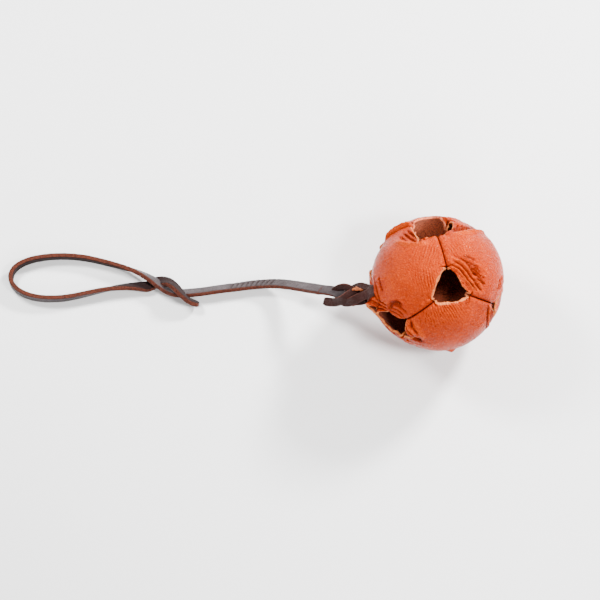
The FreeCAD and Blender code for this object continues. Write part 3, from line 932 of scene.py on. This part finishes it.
def make_bight(materials):
    """The strap's turn round the sewn seam, through both slits."""
    outward, aside = bight_ways()
    angles = np.radians(np.linspace(0, 360, BIGHT_SECTIONS + 1)[:-1])
    normals = np.cos(angles)[:, None] * outward + np.sin(angles)[:, None] * aside
    normals = np.vstack([normals, normals[:1]])
    line = np.array(HINGE / MM) + BIGHT_RADIUS * normals
    places = np.linspace(0, 2 * math.pi * BIGHT_RADIUS, len(line))
    widths = np.full(len(line), BIGHT_WIDTH)
    thicks = np.full(len(line), BIGHT_THICK)
    return make_ribbon("bight", line, places, normals, widths, thicks, materials, 8.4)


def join_pieces(name, pieces):
    """Puts several meshes in one object."""
    for piece in bpy.context.scene.objects:
        piece.select_set(piece in pieces)
    bpy.context.view_layer.objects.active = pieces[0]
    bpy.ops.object.join()
    pieces[0].name = name
    return pieces[0]


def make_hitch(materials):
    """The braid and the turn round the seam, in one piece; three strands have their own materials."""
    others = {"main": STRAP_SIDES, "raw_slit": [RAW_BRAID] * 3, "raw_fold": [RAW_BRAID] * 3}
    strands = []
    for seed, (name, (width, control)) in enumerate(STRANDS.items()):
        strands.append(make_strand(name, width, control, others.get(name, materials), seed))
    hitch = join_pieces("strap_braid", strands + [make_bight(materials)])
    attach(hitch, "strap")
    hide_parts("strap_hitch")


STRAP_GRAIN = make_grain_leather(
    "strap_grain", (0.022, 0.014, 0.015), (0.040, 0.028, 0.029), (0.070, 0.052, 0.055),
    cell=0.0009, rough=0.45, level=0.35, tint=(1, 1, 1))
STRAP_CUT = make_fibre_leather("strap_cut_edge", (0.012, 0.0032, 0.002), (0.104, 0.025, 0.013), 0.0014, 0.8)
STRAP_FLESH = make_fibre_leather(
    "strap_flesh", (0.006, 0.0025, 0.0025), (0.018, 0.007, 0.0065), 0.0012, 0.9)
BRAID_GRAIN = make_grain_leather(
    "braid_grain", (0.008, 0.0022, 0.0019), (0.018, 0.0055, 0.0045), (0.042, 0.015, 0.013),
    cell=0.0009, rough=0.40, level=0.4, tint=(1, 0.6, 0.55))
RAW_BRAID = make_fibre_leather("raw_braid_leather", (0.10, 0.018, 0.006), (0.46, 0.13, 0.045), 0.0016, 0.7)
STRAP_SIDES = [STRAP_GRAIN, STRAP_CUT, STRAP_FLESH]
BRAID_SIDES = [BRAID_GRAIN, STRAP_CUT, STRAP_FLESH]
cut_slits()
make_strap(STRAP_SIDES)
make_hitch(BRAID_SIDES)


def make_thread_material():
    """Waxed brown thread: a twisted ply under a dull shine."""
    material, nodes, links, shader = new_material("waxed_thread")
    coordinates = nodes.new("ShaderNodeTexCoord").outputs["Object"]
    ply = texture(nodes, "ShaderNodeTexWave", 900.0, Distortion=1.5)
    links.new(coordinates, ply.inputs["Vector"])
    browns = [(0.2, (0.04, 0.012, 0.005)), (0.8, (0.11, 0.04, 0.015))]
    links.new(ramp(nodes, links, ply.outputs["Fac"], browns), shader.inputs["Base Color"])
    shader.inputs["Roughness"].default_value = 0.5
    links.new(bump(nodes, links, ply.outputs["Fac"], 0.5, PLY_DEPTH), shader.inputs["Normal"])
    return material


THREAD = make_thread_material()
for name, node in frame["nodes"].items():
    if name.startswith("thread_"):
        for slot in node.material_slots:
            slot.material = THREAD


# ---------------------------------------------------------------- stage, light and camera
def area_light(name, place, target, size, power, colour=(1, 1, 1)):
    """A square lamp that faces the target."""
    lamp = bpy.data.lights.new(name, "AREA")
    lamp.size = size
    lamp.energy = power
    lamp.color = colour
    lamp_object = bpy.data.objects.new(name, lamp)
    lamp_object.location = place
    lamp_object.rotation_euler = (Vector(target) - Vector(place)).to_track_quat("-Z", "Y").to_euler()
    bpy.context.scene.collection.objects.link(lamp_object)


FLOOR_REACH = 3
FLOOR_DROP = 0.0004            # in metres: the floor is just below the leather that rests on it


def make_floor():
    material, _, _, shader = new_material("pale_floor")
    shader.inputs["Base Color"].default_value = (0.86, 0.86, 0.86, 1)
    shader.inputs["Roughness"].default_value = 0.9
    corners = [(-1, -1), (1, -1), (1, 1), (-1, 1)]
    points = [(x * FLOOR_REACH, y * FLOOR_REACH, 0) for x, y in corners]
    floor = make_mesh("floor", points, [(0, 1, 2, 3)], [material])
    floor.location.z = -FLOOR_DROP


make_floor()

world = bpy.data.worlds.new("studio")
world.use_nodes = True
background = world.node_tree.nodes["Background"]
background.inputs["Color"].default_value = (1, 1, 1, 1)
background.inputs["Strength"].default_value = 0.32
bpy.context.scene.world = world
BALL_M = BALL_CENTRE * MM
area_light("key", (0.80, 0.90, 0.90), BALL_M, 0.26, 78)
area_light("left", (-0.75, 0.45, 0.85), BALL_M, 0.28, 24)
area_light("above", (0.59, -0.43, 1.38), BALL_M, 0.25, 30)
area_light("front", (0.28, -0.95, 0.80), BALL_M, 0.35, 12, (1, 0.97, 0.96))

CAMERA_ELEVATION = math.radians(72)
CAMERA_DISTANCE = 2.8
VIEW_WIDTH = 0.607             # what the picture spans, in metres, at the point it looks at
AIM = (-0.1386, -0.0172)       # from the ball's centre to the picture's middle: to the left, and down
view_up = Vector((0, math.sin(CAMERA_ELEVATION), math.cos(CAMERA_ELEVATION)))
view_back = Vector((0, -math.cos(CAMERA_ELEVATION), math.sin(CAMERA_ELEVATION)))
target = BALL_M + Vector((AIM[0], 0, 0)) + view_up * AIM[1]
camera_data = bpy.data.cameras.new("camera")
camera_data.sensor_width = 36.0
camera_data.lens = camera_data.sensor_width * CAMERA_DISTANCE / VIEW_WIDTH
camera = bpy.data.objects.new("camera", camera_data)
camera.matrix_world = Matrix.Translation(target + view_back * CAMERA_DISTANCE) @ Euler(
    (math.radians(90) - CAMERA_ELEVATION, 0, 0)).to_matrix().to_4x4()
bpy.context.scene.collection.objects.link(camera)
bpy.context.scene.camera = camera
